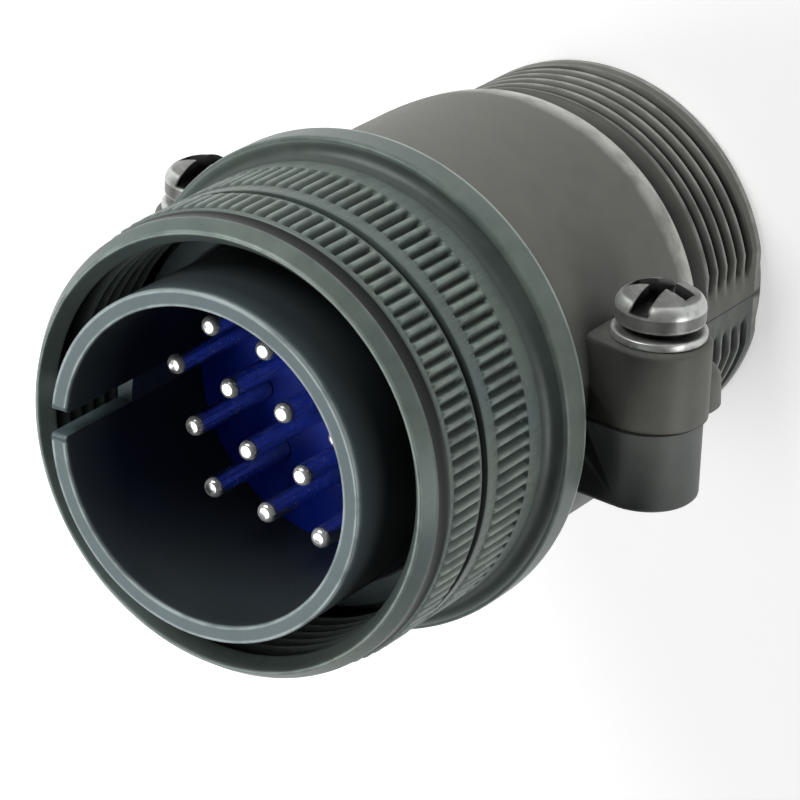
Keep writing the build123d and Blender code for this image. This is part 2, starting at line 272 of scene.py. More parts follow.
# In each finish the worn colour paints rubbed edges together with painted highlights, and the recess colour paints
# painted shade and the dark parting seam
castFinish = {
    "colour": rgb(102, 102, 97), "secondColour": rgb(110, 110, 103), "patchColour": rgb(93, 98, 93),
    "patchShare": 0.5, "wearAndHighlightColour": rgb(214, 214, 208), "wearAndHighlightShare": 0.9, "paintedShadeAndSeamColour": rgb(20, 22, 23),
    "paintedShadeShare": 1.0, "metallic": 0.15, "wearAndHighlightMetallic": 0.2, "roughness": 0.52, "blotchScale": 420, "patchScale": 110,
    "grainScale": 4200, "bump": 0.35, "bumpDepth": 0.03, "partingWidth": 0.07,
}
nutFinish = {
    "colour": rgb(94, 105, 100), "secondColour": rgb(105, 116, 110), "patchColour": rgb(85, 101, 101),
    "patchShare": 0.6, "wearAndHighlightColour": rgb(170, 182, 174), "wearAndHighlightShare": 0.8, "paintedShadeAndSeamColour": rgb(15, 18, 18),
    "paintedShadeShare": 1.0, "metallic": 0.15, "wearAndHighlightMetallic": 0.4, "roughness": 0.38, "blotchScale": 520, "patchScale": 130,
    "grainScale": 5200, "bump": 0.3, "bumpDepth": 0.02,
}
barrelFinish = {
    "colour": rgb(78, 91, 94), "secondColour": rgb(86, 100, 103), "patchColour": rgb(70, 83, 86),
    "patchShare": 0.5, "wearAndHighlightColour": rgb(176, 186, 186), "wearAndHighlightShare": 0.6, "paintedShadeAndSeamColour": rgb(54, 61, 64),
    "paintedShadeShare": 1.0, "metallic": 0.15, "wearAndHighlightMetallic": 0.4, "roughness": 0.34, "blotchScale": 480, "patchScale": 120,
    "grainScale": 5200, "bump": 0.25, "bumpDepth": 0.02,
}
screwFinish = {
    "colour": rgb(112, 113, 111), "secondColour": rgb(134, 135, 132), "patchColour": rgb(88, 90, 88),
    "patchShare": 0.6, "wearAndHighlightColour": rgb(206, 208, 204), "wearAndHighlightShare": 0.85, "paintedShadeAndSeamColour": rgb(12, 13, 13),
    "paintedShadeShare": 1.0, "metallic": 0.35, "wearAndHighlightMetallic": 0.7, "roughness": 0.34, "blotchScale": 900, "patchScale": 320,
    "grainScale": 6000, "bump": 0.35, "bumpDepth": 0.03,
}
pinFinish = {
    "colour": rgb(216, 218, 218), "secondColour": rgb(228, 230, 228), "patchColour": rgb(196, 198, 198),
    "patchShare": 0.4, "wearAndHighlightColour": rgb(244, 244, 240), "wearAndHighlightShare": 0.9, "paintedShadeAndSeamColour": rgb(60, 60, 58),
    "paintedShadeShare": 0.8, "metallic": 1.0, "wearAndHighlightMetallic": 0.6, "roughness": 0.22, "blotchScale": 1400, "patchScale": 500,
    "grainScale": 9000, "bump": 0.15, "bumpDepth": 0.01,
}
coolFinish = dict(castFinish, colour=rgb(97, 100, 98), secondColour=rgb(104, 107, 104), patchColour=rgb(88, 94, 95))
castGrey = platedMetal("cast_olive_grey", castFinish)
castCoolGrey = platedMetal("cast_cool_grey", coolFinish)
nutPlate = platedMetal("nut_plating", nutFinish)
barrelPlate = platedMetal("barrel_plating", barrelFinish)
screwSteel = platedMetal("screw_steel", screwFinish)
pinSilver = platedMetal("pin_silver", pinFinish)


def mouldedBlue():
    material = bpy.data.materials.new("insert_blue")
    material.use_nodes = True
    tree = material.node_tree
    shader = tree.nodes["Principled BSDF"]
    coords = addNode(tree, "ShaderNodeTexCoord").outputs["Object"]
    cloud = noisePattern(tree, coords, 300, 3.0)
    grain = noisePattern(tree, coords, 5000, 2.0)
    colour = mixColours(tree, spread(tree, cloud, 0.35, 0.65), rgb(20, 56, 214), rgb(32, 74, 236))
    tree.links.new(colour, shader.inputs["Base Color"])
    tree.links.new(spread(tree, grain, 0.3, 0.7, 0.26, 0.4), shader.inputs["Roughness"])
    bump = addNode(tree, "ShaderNodeBump", None, {"Height": grain, "Strength": 0.2, "Distance": 0.01 * mm})
    tree.links.new(bump.outputs["Normal"], shader.inputs["Normal"])
    return material


insertBlue = mouldedBlue()
for name in ("insert_front", "insert_rear"):
    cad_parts[name].data.materials.clear()
    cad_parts[name].data.materials.append(insertBlue)
    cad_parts[name].data.set_sharp_from_angle(angle=math.radians(32))
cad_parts["insert_snap_ring"].data.materials.clear()
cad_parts["insert_snap_ring"].data.materials.append(screwSteel)
print("finishes ready")


# Coupling nut

nut = {
    "lipRadius": 16.05, "bandRadius": 16.85, "landRadius": 16.95, "crestRadius": 17.14, "grooveRadius": 16.14,
    "lipEnd": 1.1, "bandEnd": 2.45, "frontKnurl": (2.95, 6.35), "groove": (6.55, 7.35), "rearKnurl": (8.6, 12.55),
    "ringStart": 15.25, "coveRadius": 1.05, "minorRadius": 15.11, "reliefRadius": 15.95, "threadEnd": 9.6,
    "shoulderBore": 13.93, "shoulderFront": 12.56, "shoulderBack": 15.66, "rearBore": 16.8,
    "ridges": 106, "stepsPerRidge": 10, "knurlDepth": 0.5, "barEnd": 0.42, "threadPitch": 1.411,
}


def knurlRows(top, bottom, outerRadius):
    ends = (0.0, 0.07, 0.2, nut["barEnd"])
    drops = [top + end for end in ends] + [bottom - end for end in reversed(ends)]
    return [(outerRadius, nutFront - drop, 0, 0) for drop in drops]


def nutOutline():
    n = nut
    level = lambda drop: nutFront - drop
    ringBack = nutBack
    # Last column: painted shade in the dark band behind the lip, the groove, the cove and the bores; wear and painted
    # highlight on the lip and the ring's rear edge
    return [
        (n["lipRadius"] - 0.12, level(0.0), 0.06, 0.3),
        (n["lipRadius"] + 0.1, level(0.0), 0.08, 0.4),
        (n["bandRadius"], level(n["lipEnd"]), 0.12, 0.15),
        (n["bandRadius"], level(n["lipEnd"] + 0.14), 0.0, -0.85),
        (n["bandRadius"], level(n["bandEnd"]), 0.0, -0.85),
        (n["landRadius"], level(n["bandEnd"] + 0.08), 0.05, 0.05),
        *knurlRows(*n["frontKnurl"], n["crestRadius"]),
        (n["landRadius"], level(n["groove"][0]), 0.06, -0.1),
        (n["grooveRadius"], level(n["groove"][0] + 0.04), 0.0, -1.0),
        (n["grooveRadius"], level(n["groove"][1] - 0.04), 0.0, -1.0),
        (n["landRadius"], level(n["groove"][1]), 0.06, -0.1),
        *knurlRows(*n["rearKnurl"], n["crestRadius"]),
        (n["crestRadius"], level(n["ringStart"]), n["coveRadius"], -0.4),
        (ringRadius, level(n["ringStart"]), 0.3, 0.15),
        (ringRadius, ringBack, 0.3, 0.9),
        (n["rearBore"], ringBack, 0.15, 0.2),
        (n["rearBore"], level(n["shoulderBack"]), 0.0, -0.8),
        (n["shoulderBore"], level(n["shoulderBack"]), 0.15, 0.0),
        (n["shoulderBore"], level(n["shoulderFront"]), 0.15, 0.0),
        (n["reliefRadius"], level(n["shoulderFront"]), 0.0, -0.8),
        (n["reliefRadius"], level(n["lipEnd"] + 0.6), 0.0, -0.6),
        (n["minorRadius"], level(n["lipEnd"]), 0.08, 0.1),
    ]


# Height of the knurled surface, for a share of the ridge pitch from its crest and a place along a band, with wear and
# painted highlight on the crests and painted shade in the valleys
def knurlPlace(share, drop):
    n = nut
    for top, bottom, plainEnd in ((*n["frontKnurl"], False), (*n["rearKnurl"], True)):
        if top - 0.001 <= drop <= bottom + 0.001:
            fromTop = min(1, (drop - top) / n["barEnd"])
            fromBottom = min(1, (bottom - drop) / n["barEnd"])
            rise = math.sqrt(max(0, 1 - (1 - min(fromTop, 1 if plainEnd else fromBottom)) ** 2))
            cut = math.sqrt(max(0, 1 - (1 - min(fromTop, fromBottom)) ** 2))
            crest = n["landRadius"] + rise * (n["crestRadius"] - n["landRadius"])
            valley = smoothStep(0.1, 0.5, abs(share))
            crown = 0.05 * min(1, abs(share) / 0.3) ** 2
            return crest - cut * (n["knurlDepth"] * valley + crown), cut * (0.4 - 0.95 * valley)
    return None


def makeNut():
    n = nut
    bm = startMesh()
    wear_and_painted_light = bm.verts.layers.float["wear_and_painted_light"]
    drawOutline(bm, nutOutline())
    bmesh.ops.delete(bm, geom=list(bm.faces), context="FACES_ONLY")
    pitch = math.tau / n["ridges"]
    bmesh.ops.spin(bm, geom=list(bm.verts) + list(bm.edges), cent=(0, 0, 0), axis=(0, 0, 1), dvec=(0, 0, 0),
                   angle=pitch, steps=n["stepsPerRidge"], use_merge=False, use_normal_flip=False,
                   use_duplicate=False)
    for vert in bm.verts:
        radius = math.hypot(vert.co.x, vert.co.y)
        if radius < (n["landRadius"] - 0.05) * mm:
            continue
        share = math.atan2(vert.co.y, vert.co.x) / pitch - 0.5
        place = knurlPlace(share, nutFront - vert.co.z / mm)
        if place:
            vert.co.x *= place[0] * mm / radius
            vert.co.y *= place[0] * mm / radius
            vert[wear_and_painted_light] = place[1]
    bmesh.ops.spin(bm, geom=list(bm.verts) + list(bm.edges) + list(bm.faces), cent=(0, 0, 0), axis=(0, 0, 1),
                   dvec=(0, 0, 0), angle=math.tau - pitch, steps=n["ridges"] - 1, use_merge=False,
                   use_normal_flip=False, use_duplicate=True)
    bmesh.ops.remove_doubles(bm, verts=bm.verts, dist=0.001 * mm)
    bmesh.ops.recalc_face_normals(bm, faces=bm.faces)
    thread = couplingThread()
    bm.from_mesh(thread)
    bpy.data.meshes.remove(thread)
    return toObject(bm, "coupling_nut_turned")


# A closed ridge that winds round the nut's bore, its base sunk in the wall
def couplingThread():
    n = nut
    bm = startMesh()
    wear_and_painted_light = bm.verts.layers.float["wear_and_painted_light"]
    pitch = n["threadPitch"]
    base = n["reliefRadius"] + 0.05
    top = nutFront - n["lipEnd"] - pitch
    turns = (n["threadEnd"] - n["lipEnd"] - pitch) / pitch
    stepsPerTurn = 96
    corners = ((base, 0.62), (base, -0.62), (n["minorRadius"], -0.11), (n["minorRadius"], 0.11))
    verts = [bm.verts.new((radius * mm, 0, (top + height) * mm)) for radius, height in corners]
    # Painted shade on the ridge's sunk base, a little wear and painted highlight on its crest
    for vert, wearAndPaintedLight in zip(verts, (-1.0, -1.0, 0.2, 0.2)):
        vert[wear_and_painted_light] = wearAndPaintedLight
    start = bm.faces.new(verts)
    steps = round(turns * stepsPerTurn)
    drop = Vector((0, 0, -pitch * mm / stepsPerTurn))
    bmesh.ops.spin(bm, geom=[start] + list(start.edges) + verts, cent=(0, 0, 0), axis=(0, 0, 1), dvec=drop,
                   angle=math.tau * turns, steps=steps, use_merge=False, use_normal_flip=False,
                   use_duplicate=False)
    bmesh.ops.recalc_face_normals(bm, faces=bm.faces)
    thread = bpy.data.meshes.new("coupling_thread")
    bm.to_mesh(thread)
    bm.free()
    return thread


finishPiece(makeNut(), nutPlate, "nut", ["coupling_nut"], 58)
print("coupling nut made")


# Barrel

barrel = {
    "outerRadius": 12.85, "innerRadius": 11.6, "insertBore": 11.85, "bodyRadius": 13.4, "grooveRadius": 12.8,
    "neckRadius": 13.85, "flangeRadius": 14.9, "skirtLength": 13.0, "flangeLength": 2.0, "neckLength": 3.6,
    "insertSeat": 18.5, "steps": 160, "slotWidth": 1.75, "slotLength": 8.0, "slotMouth": 0.45,
    "grooveLength": 5.0, "grooveDepth": 0.7, "bodyGroove": (20.5, 22.5), "rimRound": 0.12,
}


def barrelOutline():
    b = barrel
    flangeFront = rimLevel - b["skirtLength"]
    flangeBack = flangeFront - b["flangeLength"]
    neckBack = flangeBack - b["neckLength"]
    seat = rimLevel - b["insertSeat"]
    grooveTop, grooveBottom = (rimLevel - drop for drop in b["bodyGroove"])
    # Last column: painted shade down the outside below the rim and all down the bore; wear and painted highlight on the
    # rim
    return [
        (b["innerRadius"], rimLevel, b["rimRound"], 0.7),
        (b["outerRadius"], rimLevel, b["rimRound"], 0.9),
        (b["outerRadius"], rimLevel - 0.7, 0.0, -0.5),
        (b["outerRadius"], rimLevel - 2.8, 0.0, -0.85),
        (b["outerRadius"], flangeFront, 0.3, -0.9),
        (b["flangeRadius"], flangeFront, 0.12, 0.3),
        (b["flangeRadius"], flangeBack, 0.12, 0.0),
        (b["neckRadius"], flangeBack, 0.0, 0.0),
        (b["neckRadius"], neckBack, 0.0, 0.0),
        (b["bodyRadius"], neckBack, 0.0, 0.0),
        (b["bodyRadius"], grooveTop, 0.0, 0.0),
        (b["grooveRadius"], grooveTop, 0.0, 0.0),
        (b["grooveRadius"], grooveBottom, 0.0, 0.0),
        (b["bodyRadius"], grooveBottom, 0.0, 0.0),
        (b["bodyRadius"], barrelBack, 0.15, 0.3),
        (b["insertBore"], barrelBack, 0.15, 0.3),
        (b["insertBore"], seat, 0.0, -0.5),
        (b["innerRadius"], seat, 0.0, -1.0),
        (b["innerRadius"], insertFace, 0.0, -1.0),
        (b["innerRadius"], insertFace + 9.0, 0.0, -0.95),
        (b["innerRadius"], rimLevel - 1.6, 0.0, -0.85),
        (b["innerRadius"], rimLevel - 0.4, 0.0, -0.7),
    ]


# The key slot's cutter flares at the rim, so that the slot's mouth has round corners
def slotCutter():
    b = barrel
    half = b["slotWidth"] / 2
    bottom = rimLevel - b["slotLength"]
    wide = half + 3 * b["slotMouth"]
    justOver = rimLevel + 0.002
    bm = startMesh()
    outline = [(-half, bottom), (half, bottom), (half, justOver), (wide, justOver), (wide, rimLevel + 1),
               (-wide, rimLevel + 1), (-wide, justOver), (-half, justOver)]
    verts = [bm.verts.new((10.9 * mm, y * mm, z * mm)) for y, z in outline]
    bm.faces.new(verts)
    for index in (2, 7):
        bmesh.ops.bevel(bm, geom=[verts[index]], offset=b["slotMouth"] * mm, offset_type="OFFSET", segments=4,
                        profile=0.5, affect="VERTICES", clamp_overlap=True, material=-1)
    made = bmesh.ops.extrude_face_region(bm, geom=list(bm.faces))
    moved = [item for item in made["geom"] if isinstance(item, bmesh.types.BMVert)]
    bmesh.ops.translate(bm, verts=moved, vec=(3 * mm, 0, 0))
    bmesh.ops.recalc_face_normals(bm, faces=bm.faces)
    return toObject(bm, "slot_cutter")


def grooveCutter():
    b = barrel
    bm = startMesh()
    bmesh.ops.create_cube(bm, size=1)
    depth = b["grooveDepth"] + 0.7
    bottom = rimLevel - b["slotLength"] - b["grooveLength"]
    bmesh.ops.scale(bm, verts=bm.verts, vec=(depth * mm, b["slotWidth"] * mm, (b["grooveLength"] + 0.5) * mm))
    middle = Vector((b["innerRadius"] + b["grooveDepth"] - depth / 2, 0, bottom + (b["grooveLength"] + 0.5) / 2))
    bmesh.ops.translate(bm, verts=bm.verts, vec=middle * mm)
    return toObject(bm, "groove_cutter")


shell = toObject(turned(barrelOutline(), barrel["steps"]), "barrel_turned")
combine(shell, slotCutter(), "DIFFERENCE")
combine(shell, grooveCutter(), "DIFFERENCE")
finishPiece(shell, barrelPlate, "plug", ["barrel"])
print("barrel made")


# Pin contacts

contact = {
    "radius": 0.785, "tip": 46.0, "domeStart": 0.62, "shoulderRadius": 1.385, "shoulder": (32.5, 34.1),
    "cupRadius": 1.15, "cupBore": 0.85, "cupEnd": 22.55, "cupDepth": 4.5, "cupWindow": 3.2, "steps": 28,
}


def contactOutline():
    c = contact
    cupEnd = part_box("contact_01")[0].z / mm
    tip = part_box("contact_01")[1].z / mm
    low, high = c["shoulder"]
    # Last column: wear and painted highlight on the domed tip, painted shade down the cup's bore
    return [
        (0.0, tip, 0, 1.0),
        (c["radius"] * 0.6, tip - 0.04, 0, 1.0),
        (c["radius"] * 0.83, tip - 0.17, 0, 0.9),
        (c["radius"] * 0.96, tip - 0.4, 0, 0.6),
        (c["radius"], tip - c["domeStart"] - 0.1, 0, 0.3),
        (c["radius"], tip - 4.0, 0, 0.0),
        (c["radius"], high, 0, 0.0),
        (c["shoulderRadius"], high, 0, 0),
        (c["shoulderRadius"], low, 0, 0),
        (c["cupRadius"], low, 0, 0),
        (c["cupRadius"], cupEnd, 0.08, 0.4),
        (c["cupBore"], cupEnd, 0.08, 0.2),
        (c["cupBore"], cupEnd + c["cupDepth"], 0, -0.8),
        (0.0, cupEnd + c["cupDepth"] + 0.4, 0, -1.0),
    ]


def makeContact(node):
    c = contact
    low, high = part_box(node)
    bm = turned(contactOutline(), c["steps"], 0.1)
    piece = toObject(bm, node.replace("contact", "pin"))
    cutter = startMesh()
    bmesh.ops.create_cube(cutter, size=1)
    size = Vector((3 * c["cupRadius"], c["cupRadius"], 2 * c["cupWindow"])) * mm
    bmesh.ops.scale(cutter, verts=cutter.verts, vec=size)
    bmesh.ops.translate(cutter, verts=cutter.verts, vec=(0, -c["cupRadius"] * mm, low.z))
    combine(piece, toObject(cutter, "cup_cutter"), "DIFFERENCE")
    place = (low + high) / 2
    piece.data.transform(Matrix.Translation((place.x, (low.y + high.y) / 2, 0)))
    return piece


for number in range(1, 15):
    node = f"contact_{number:02d}"
    finishPiece(makeContact(node), pinSilver, "plug", [node], 40)
print("pin contacts made")


# Backshell halves

backshell = {
    "threadRadius": 15.08, "threadRoot": 14.21, "threadLength": 9.3, "threadPitch": 1.411, "threadFlat": 14.6,
    "threadStart": 1.9, "threadStop": 9.15, "rearChamfer": 0.6, "neckRadius": 13.6, "neckBack": 10.5,
    "neckFront": 11.4, "domeRadius": 15.75, "domeFront": 17.5, "domeCorner": 1.1, "radius": 16.4,
    "cableBore": 11.5, "cableBoreLength": 11.5, "wireRadius": 14.4, "wireStart": 15.5, "wireEnd": 25.2,
    "clampRadius": 13.48, "ribRadius": 12.88, "rib": (31.05, 32.95), "steps": 100, "threadRowsPerPitch": 8,
    "crestShare": 0.24, "grooveMiddle": 8.35, "grooveFade": (4.5, 14.0), "crestWearAndHighlight": 0.4,
    "grooveShade": 1.8, "flatPaintedLight": 0.14, "overlap": 2.0,
}


def backshellOutline():
    s = backshell
    rows = round((s["threadStop"] - s["threadStart"]) / s["threadPitch"] * s["threadRowsPerPitch"])
    rise = (s["threadStop"] - s["threadStart"]) / rows
    thread = [(s["threadRadius"], s["threadStart"] + row * rise, 0, 0) for row in range(rows + 1)]
    # The dome's rounded rear edge gets a painted highlight, fading towards the front
    domeSteps = 11
    dome = []
    for step in range(1, domeSteps):
        level = s["neckFront"] + (s["domeFront"] - s["neckFront"]) * step / domeSteps
        share = (s["domeFront"] - level) / (s["domeFront"] - s["neckFront"])
        wearAndPaintedLight = max(0, 1.2 - 0.165 * step)
        dome.append((s["radius"] - (s["radius"] - s["domeRadius"]) * share ** 2, level, 0, wearAndPaintedLight))
    # Last column: painted shade in the neck and the cable bore, wear and painted highlight on the rear chamfer and the
    # dome's corner
    return [
        (s["threadRadius"] - s["rearChamfer"], 0.0, 0.12, 0.2),
        (s["threadRadius"], s["rearChamfer"], 0.15, 0.4),
        (s["threadRadius"], s["rearChamfer"] + 0.5, 0.0, 0.45),
        *thread,
        (s["threadRadius"], s["threadLength"], 0.12, -0.3),
        (s["neckRadius"], s["neckBack"], 0.3, -0.8),
        (s["neckRadius"], s["neckFront"], 0.3, -0.9),
        (s["domeRadius"] - 0.1, s["neckFront"], s["domeCorner"], 0.9),
        *dome[2:],
        (s["radius"], s["domeFront"], 0, 0),
        (s["radius"], shellFront, 0.3, 0.4),
        (s["clampRadius"], shellFront, 0.2, 0.0),
        (s["clampRadius"], s["rib"][1], 0.0, 0.0),
        (s["ribRadius"], s["rib"][1], 0.0, 0.0),
        (s["ribRadius"], s["rib"][0], 0.0, 0.0),
        (s["clampRadius"], s["rib"][0], 0.0, 0.0),
        (s["clampRadius"], s["wireEnd"], 0.0, -0.5),
        (s["wireRadius"], s["wireEnd"], 0.3, -0.8),
        (s["wireRadius"], s["wireStart"], 0.5, -0.8),
        (s["cableBore"], s["cableBoreLength"], 0.4, -0.2),
        (s["cableBore"], 0.0, 0.4, 0.3),
    ]


# Cuts the rolled thread into the plain rear end: rows follow the helix, and the grooves fade towards the flats
def cutThread(piece):
    s = backshell
    bm = bmesh.new()
    bm.from_mesh(piece.data)
    wear_and_painted_light = bm.verts.layers.float["wear_and_painted_light"]
    for vert in bm.verts:
        radius = math.hypot(vert.co.x, vert.co.y) / mm
        level = vert.co.z / mm
        if radius < s["threadRoot"] or level > s["threadLength"] + 0.01:
            continue
        angle = math.degrees(math.atan2(vert.co.y, vert.co.x)) % 360
        fromParting = min(angle % 180, 180 - angle % 180)
        inZone = smoothStep(s["threadStart"] - 0.01, s["threadStart"] + 0.8, level)
        inZone *= 1 - smoothStep(s["threadStop"] - 0.8, s["threadStop"] + 0.01, level)
        lead = s["threadPitch"] * (angle / 360 - 0.75)
        level += lead * inZone
        phase = ((level - lead - s["grooveMiddle"]) / s["threadPitch"]) % 1
        fromGroove = min(phase, 1 - phase)
        groove = 1 - smoothStep(0.18, 0.5 - s["crestShare"] / 2, fromGroove)
        fade = smoothStep(*s["grooveFade"], fromParting) * min(1, 3 * inZone)
        crest = s["threadRadius"] if radius > s["threadRadius"] - 0.01 else radius
        flat = s["threadFlat"] / max(0.2, abs(math.cos(math.radians(angle))))
        target = min(crest, flat) - (s["threadRadius"] - s["threadRoot"]) * groove * fade
        vert.co.x *= target / radius
        vert.co.y *= target / radius
        vert.co.z = level * mm
        # Painted shade in the grooves, wear and painted highlight on the crests, and painted light on the flats
        if inZone > 0:
            vert[wear_and_painted_light] = (s["crestWearAndHighlight"] - s["grooveShade"] * groove) * fade + s["flatPaintedLight"] * (1 - fade)
    bm.to_mesh(piece.data)
    bm.free()


# Both halves are made a little past the parting plane and trimmed to it at the end
def halfBody(name, startAngle):
    s = backshell
    bm = startMesh()
    drawOutline(bm, backshellOutline(), 0.25)
    bmesh.ops.rotate(bm, verts=bm.verts, cent=(0, 0, 0),
                     matrix=Matrix.Rotation(math.radians(startAngle - s["overlap"]), 3, "Z"))
    bmesh.ops.spin(bm, geom=list(bm.verts) + list(bm.edges) + list(bm.faces), cent=(0, 0, 0), axis=(0, 0, 1),
                   dvec=(0, 0, 0), angle=math.radians(180 + 2 * s["overlap"]), steps=s["steps"],
                   use_merge=False, use_normal_flip=False, use_duplicate=False)
    bmesh.ops.recalc_face_normals(bm, faces=bm.faces)
    return toObject(bm, name)


# Each ear's shade value is painted shade over the whole ear, deeper on the tapped half
headEar = {
    "radius": 4.13, "height": 5.8, "draft": 2.5, "root": 3.5, "edgeRound": 0.45, "reach": 19.5, "level": 25.6,
    "lean": -0.5, "hole": 1.95, "shade": -0.15,
}
tappedEar = {
    "radius": 3.99, "height": 6.18, "draft": 0.8, "root": 3.5, "edgeRound": 0.4, "reach": 19.5, "level": 26.0,
    "lean": -0.3, "hole": 1.8, "shade": -0.3,
}
rearLug = {
    "radius": 3.29, "height": 2.9, "draft": 3.0, "root": 3.29, "edgeRound": 1.1, "reach": 19.8, "level": 22.5,
    "lean": 0.0, "shade": 0.0,
}
tongueInner = 14.6
tongueRoot = 15.2
pastParting = 0.5
# Painted shade on the front cheek of each ear, close behind the nut's ring, where the ring's shadow falls
paintedCheekShade = -0.85


# A drafted tongue with a round end, from just past the parting plane. toHeads is -1 on the screw heads' side.
def makeTongue(side, toHeads, tongue):
    t = tongue
    reach, level, radius = t["reach"], t["level"], t["radius"]
    bm = startMesh()
    wear_and_painted_light = bm.verts.layers.float["wear_and_painted_light"]
    rootWidth = radius + (t["root"] - radius) * (reach - tongueInner) / (reach - tongueRoot)
    start = -toHeads * pastParting
    outline = [(tongueInner, -rootWidth), (reach, -radius), (reach + radius, -radius), (reach + radius, radius),
               (reach, radius), (tongueInner, rootWidth)]
    verts = [bm.verts.new((side * x * mm, start * mm, (level + z) * mm)) for x, z in outline]
    bm.faces.new(verts)
    for index in (2, 3):
        bmesh.ops.bevel(bm, geom=[verts[index]], offset=radius * 0.96 * mm, offset_type="OFFSET", segments=14,
                        profile=0.5, affect="VERTICES", clamp_overlap=True, material=-1)
    made = bmesh.ops.extrude_face_region(bm, geom=list(bm.faces))
    top = [item for item in made["geom"] if isinstance(item, bmesh.types.BMVert)]
    rise = t["height"] + pastParting
    shrink = (radius - rise * math.tan(math.radians(t["draft"]))) / radius
    centre = Matrix.Translation((-side * reach * mm, 0, -level * mm))
    bmesh.ops.scale(bm, verts=top, vec=(shrink, 1, shrink), space=centre)
    bmesh.ops.translate(bm, verts=top, vec=(0, toHeads * rise * mm, t["lean"] * mm))
    rimEdges = [edge for edge in bm.edges if all(vert in top for vert in edge.verts)]
    bmesh.ops.bevel(bm, geom=rimEdges, offset=t["edgeRound"] * mm, offset_type="OFFSET", segments=4,
                    profile=0.5, affect="EDGES", clamp_overlap=True, material=-1)
    # Every vertex gets the ear's painted shade, turning to the cheek's painted shade towards the front
    for vert in bm.verts:
        onCheek = smoothStep(0.6, 0.98, (vert.co.z / mm - level) / radius)
        vert[wear_and_painted_light] = t["shade"] + (paintedCheekShade - t["shade"]) * onCheek
    bmesh.ops.recalc_face_normals(bm, faces=bm.faces)
    return toObject(bm, "tongue")


def bothHoles(radius):
    bm = startMesh()
    bmesh.ops.create_cone(bm, cap_ends=True, segments=40, radius1=radius * mm, radius2=radius * mm, depth=30 * mm)
    bmesh.ops.rotate(bm, verts=bm.verts, cent=(0, 0, 0), matrix=Matrix.Rotation(math.radians(90), 3, "X"))
    bmesh.ops.translate(bm, verts=bm.verts, vec=(earReach * mm, 0, earLevel * mm))
    copied = bmesh.ops.duplicate(bm, geom=list(bm.verts) + list(bm.edges) + list(bm.faces))
    twins = [item for item in copied["geom"] if isinstance(item, bmesh.types.BMVert)]
    bmesh.ops.translate(bm, verts=twins, vec=(-2 * earReach * mm, 0, 0))
    bmesh.ops.recalc_face_normals(bm, faces=bm.faces)
    return toObject(bm, "holes")


def halfSpace(toHeads):
    bm = startMesh()
    bmesh.ops.create_cube(bm, size=100 * mm)
    bmesh.ops.translate(bm, verts=bm.verts, vec=(0, toHeads * 50 * mm, 40 * mm))
    return toObject(bm, "half_space")


def makeHalf(name, toHeads):
    half = halfBody(name, 180 if toHeads < 0 else 0)
    settings = headEar if toHeads < 0 else tappedEar
    for side in (-1, 1):
        ear = makeTongue(side, toHeads, settings)
        if toHeads < 0:
            combine(ear, makeTongue(side, toHeads, rearLug), "UNION")
        combine(half, ear, "UNION")
    combine(half, bothHoles(settings["hole"]), "DIFFERENCE")
    combine(half, halfSpace(toHeads), "INTERSECT")
    cutThread(half)
    return half


finishPiece(makeHalf("backshell_head_half_cast", -1), castGrey, "plug", ["backshell_head_half"])
finishPiece(makeHalf("backshell_tapped_half_cast", 1), castCoolGrey, "plug", ["backshell_tapped_half"])
print("backshell halves made")


# Clamp screws and lock washers

screw = {
    "radius": 1.75, "neckRadius": 2.5, "headRadius": 3.29, "seat": 6.5, "neckTop": 7.02, "sideTop": 8.65,
    "edgeRound": 0.5, "crown": 9.78, "tip": -5.5, "slotWidth": 1.35, "slotDepth": 1.4, "crossReach": 2.3,
    "crossDepth": 1.7, "slotTurn": 90.0, "steps": 64,
}
washer = {
    "innerRadius": 1.88, "outerRadius": 3.49, "low": 5.8, "high": 6.5, "gap": 9.0, "lift": 0.1, "steps": 90,
}


def screwOutline():
    s = screw
    domeSteps = 6
    dome = []
    for step in range(1, domeSteps):
        share = step / domeSteps
        dome.append((s["headRadius"] * share, s["crown"] - (s["crown"] - s["sideTop"]) * share ** 2.2, 0, 0.25))
    # Last column: wear and painted highlight on the head's crown and rounded side edge, painted shade round the neck
    # under the head
    return [
        (0.0, s["crown"], 0, 0.3),
        *dome,
        (s["headRadius"], s["sideTop"], s["edgeRound"], 0.9),
        (s["headRadius"], s["neckTop"], 0.2, 0.5),
        (s["neckRadius"], s["neckTop"], 0, -0.8),
        (s["neckRadius"], s["seat"], 0, -0.8),
        (s["radius"], s["seat"], 0, 0),
        (s["radius"], s["tip"] + 0.3, 0, 0),
        (s["radius"] - 0.3, s["tip"], 0, 0.3),
        (0.0, s["tip"], 0, 0),
    ]


def slotBox(length, width, depth, turn):
    bm = startMesh()
    bmesh.ops.create_cube(bm, size=1)
    bmesh.ops.scale(bm, verts=bm.verts, vec=(length * mm, width * mm, 2 * depth * mm))
    bmesh.ops.rotate(bm, verts=bm.verts, cent=(0, 0, 0), matrix=Matrix.Rotation(math.radians(turn), 3, "Z"))
    bmesh.ops.translate(bm, verts=bm.verts, vec=(0, 0, screw["crown"] * mm))
    return toObject(bm, "recess_cutter")


# Turns something built along +Z towards the screw heads' side and joins one at each ear
def atBothEars(piece):
    bm = bmesh.new()
    for side in (-1, 1):
        before = set(bm.verts)
        bm.from_mesh(piece.data)
        added = [vert for vert in bm.verts if vert not in before]
        bmesh.ops.rotate(bm, verts=added, cent=(0, 0, 0), matrix=Matrix.Rotation(math.radians(90), 3, "X"))
        bmesh.ops.translate(bm, verts=added, vec=(side * earReach * mm, 0, earLevel * mm))
    bm.to_mesh(piece.data)
    bm.free()
    return piece


